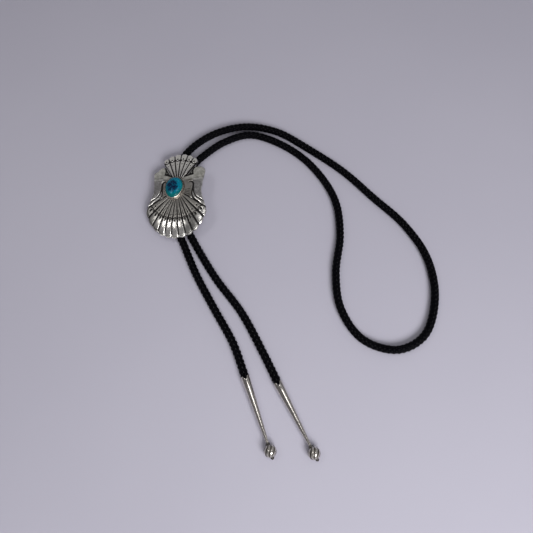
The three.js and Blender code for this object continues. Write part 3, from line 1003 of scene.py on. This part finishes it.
def turquoise_look(start):
    uv = start.node("UVMap", {"uv_map": UV})
    cloud, fine = uv.noise(4.5, 4, 0.62), uv.noise(11, 5, 0.7)
    edge = (away_from(uv, BLUE_MIDDLE) + cloud * 0.3 - 0.15).step(0.5, 0.76)
    blue = fine.step(0.4, 0.6).blend(*STONE_BLUES)
    teal = fine.step(0.3, 0.7).blend(*STONE_TEALS)
    core_share = away_from(uv, VEIN_MIDDLE).step(0.62, 0.3)
    veins = (cloud * 0.35 + fine * 0.65 + core_share * 0.14).step(0.575, 0.63)
    return {
        "Base Color": (veins * core_share.step(0.0, 0.25)).blend(edge.blend(blue, teal), STONE_VEINS),
        "Roughness": 0.14 + veins * 0.12,
        "Specular IOR Level": 0.17,
        "Normal": relief(1 - veins * 0.5, 0.00006, 0.35),
    }


turquoise = finish_of("turquoise_stone", turquoise_look)
stone()

# The clip keeps its solid

CLIP_GREYS = (0.5, 0.49, 0.47), (0.66, 0.65, 0.63)


def clip_look(start):
    place = places(start)
    fine, dents, patches = scratches(place)
    return {
        "Base Color": patches.step(0.3, 0.75).blend(*CLIP_GREYS),
        "Metallic": 1.0,
        "Roughness": 0.3 + patches * 0.2,
        "Normal": relief(dents, 0.0003, 0.2, relief(fine, 0.00005, 0.6)),
    }


clip_metal = finish_of("clip_metal", clip_look)
for slot in frame["nodes"]["cord_clip"].material_slots:
    slot.material = clip_metal

# The tips

TIP_SIDES, CONE_STEPS, BALL_STEPS = 64, 20, 30
BALL_RIBS, BALL_TWIST, BALL_RIB_DEPTH = 8, 3.2, 0.05
RIB_SHARPNESS, RIB_END_SHARPNESS = 1.3, 0.4
NOTCH_DEPTH, NOTCH_HALF, NOTCH_FADE = 2.3, math.radians(32), (1, 5)
NOTCH_TURN = 1.5 * math.pi

# The mouth's rounded rim, from inside to outside: how much less than the mouth's radius, and how far along.
MOUTH_RIM = [(0.45, 3.0), (0.28, 0.15), (0.14, 0), (0.02, 0.14), (0.01, 0.5), (0.05, 0.75)]
HOLLOW_END = (0.2, 3.0)
CONE_START = (TIP_MOUTH - 0.06, 0.9)
COLLAR_SHARES, COLLAR_ROUNDING = (0.05, 0.2, 0.5, 0.8, 0.95), 0.25
FINIAL_SHARES, FINIAL_SEAT = (0, 0.25, 0.5, 0.75), 0.05
FINIAL_LENGTH, FINIAL_BLUNTNESS = TIP_FINIAL[1] * 0.8, 0.8
BALL_CENTRE = TIP_CONE + TIP_COLLAR[1] + TIP_BALL
COLLAR_TARNISH, FINIAL_TARNISH, BALL_TARNISH = 0.6, 1.0, (0.16, 0.9)
BEFORE_COLLAR, BEFORE_FINIAL = 0.3, 0.1

TIP_CLEAN, TIP_TARNISH = ((0.6, 0.565, 0.525), (0.7, 0.67, 0.63)), (0.02, 0.016, 0.013)


def tip_look(start):
    place = places(start)
    fine, dents, patches = scratches(place)
    tarnish = start.node("Attribute", {"attribute_name": "tarnish"}, output="Fac")
    dark = (tarnish * (0.6 + dents * 0.8)).step(0.05, 0.7)
    return {
        "Base Color": dark.blend(patches.step(0.3, 0.7).blend(*TIP_CLEAN), TIP_TARNISH),
        "Metallic": 1 - dark * 0.7,
        "Roughness": 0.12 + patches * 0.06 + dark * 0.2,
        "Normal": relief(patches, 0.0001, 0.2, relief(fine, 0.00003, 0.3)),
    }


tip_silver = finish_of("tip_silver", tip_look)


def ball_groove(turn, level):
    """How deep a point lies in the ball's slanting grooves, from 0 to 1."""
    slanted = turn * BALL_RIBS / 2 + BALL_TWIST * level
    return (1 - abs(math.sin(slanted))) ** RIB_SHARPNESS * max(0, 1 - level**2) ** RIB_END_SHARPNESS


def tip_profile():
    """Radius, distance along and whether the row is ribbed, from the hollow mouth to the point."""
    profile = [(*HOLLOW_END, False)]
    profile += [(TIP_MOUTH - less, along, False) for less, along in MOUTH_RIM]
    for step in range(1, CONE_STEPS + 1):
        share = step / CONE_STEPS
        radius = lerp(CONE_START[0], TIP_NECK, share)
        profile.append((radius, lerp(CONE_START[1], TIP_CONE, share), False))
    radius, length = TIP_COLLAR
    for share in COLLAR_SHARES:
        less = COLLAR_ROUNDING * (1 - math.sin(math.pi * share))
        profile.append((radius - less, TIP_CONE + length * share, False))
    for step in range(2, BALL_STEPS - 1):
        turn = math.pi * step / BALL_STEPS
        profile.append((TIP_BALL * math.sin(turn), BALL_CENTRE - TIP_BALL * math.cos(turn), True))
    end = BALL_CENTRE + TIP_BALL
    for share in FINIAL_SHARES:
        radius = TIP_FINIAL[0] * math.cos(share * math.pi / 2) ** FINIAL_BLUNTNESS
        profile.append((radius, end - FINIAL_SEAT + FINIAL_LENGTH * share, False))
    return [*profile, (0, end + FINIAL_LENGTH, False)]


def tip(name):
    profile = tip_profile()

    def place(column, row):
        radius, along, ribbed = profile[row]
        turn = math.tau * column / TIP_SIDES
        if ribbed:
            radius *= 1 - BALL_RIB_DEPTH * ball_groove(turn, (along - BALL_CENTRE) / TIP_BALL)
        notch = max(0, 1 - abs(turn - NOTCH_TURN) / NOTCH_HALF) * fade(*NOTCH_FADE, along)
        return Vector((radius * math.cos(turn), along + NOTCH_DEPTH * notch, radius * math.sin(turn)))

    def dark(column, row):
        radius, along, ribbed = profile[row]
        if TIP_CONE - BEFORE_COLLAR < along < TIP_CONE + TIP_COLLAR[1]:
            return COLLAR_TARNISH
        if along > BALL_CENTRE + TIP_BALL - BEFORE_FINIAL:
            return FINIAL_TARNISH
        if not ribbed:
            return 0.0
        groove = ball_groove(math.tau * column / TIP_SIDES, (along - BALL_CENTRE) / TIP_BALL)
        return BALL_TARNISH[0] + BALL_TARNISH[1] * groove

    def uv(first, column, row):
        return NO_FAN_UV, WING_ZONE

    bm = bmesh.new()
    net(bm, TIP_SIDES, len(profile) - 1, place, uv, {"tarnish": dark})
    mouth, heading = TIPS[name]
    along = tip_axis(heading)
    across = Vector((-along.y, along.x, 0)).normalized()
    turn = Matrix((across, along, across.cross(along))).transposed().to_4x4()
    turn.translation = TABLE_CENTRE + mouth
    piece(name + "_silver", bm, tip_silver, name, turn)


for name in TIPS:
    tip(name)

# The floor

FLOOR_HALF = 3
PAPER_GREYS = (0.4, 0.39, 0.468), (0.418, 0.408, 0.486)


def paper_look(start):
    place = places(start)
    tone, speck = place.noise(6, 3), place.noise(1600, 2)
    return {
        "Base Color": (tone * 0.7 + speck * 0.3).step(0.3, 0.7).blend(*PAPER_GREYS),
        "Roughness": 0.75,
        "Normal": relief(speck, 0.00005, 0.3),
    }


def paper_floor():
    bm = bmesh.new()
    bmesh.ops.create_grid(bm, x_segments=1, y_segments=1, size=FLOOR_HALF)
    mesh = bpy.data.meshes.new("floor")
    bm.to_mesh(mesh)
    bm.free()
    mesh.materials.append(finish_of("pale_paper", paper_look))
    floor = bpy.data.objects.new("floor", mesh)
    bpy.context.scene.collection.objects.link(floor)


paper_floor()
